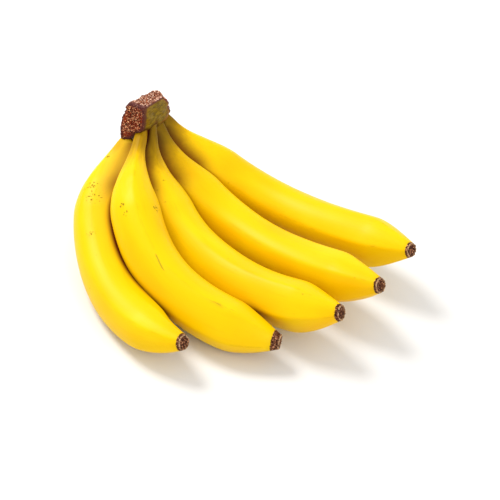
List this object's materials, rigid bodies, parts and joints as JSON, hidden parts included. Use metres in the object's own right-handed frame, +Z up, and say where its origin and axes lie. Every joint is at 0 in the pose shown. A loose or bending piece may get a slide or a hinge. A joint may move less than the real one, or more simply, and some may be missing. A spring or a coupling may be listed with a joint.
{
  "type": "hand of bananas",
  "caption": "A small hand of ripe yellow bananas growing side by side from one cut crown, lying on the backs of its fingers with the tips raised.",
  "frame": {"origin": "middle of the hand's footprint, on the surface it lies on", "axes": "+Z up; +X from the crown towards the tips, along the longest side; +Y from the nearest finger towards the furthest one"},
  "size_m": [0.2353, 0.2096, 0.0966],
  "materials": {
    "peel": "smooth waxy ripe peel, soft sheen, green at the stalks and dried brown at the blossom ends",
    "crown": "dry fibrous cut faces, dark brown, with olive green skin between them"
  },
  "bodies": {
    "root": {"banana_1": "peel", "banana_2": "peel", "banana_3": "peel", "banana_4": "peel", "banana_5": "peel", "crown": "crown"}
  },
  "joints": []
}
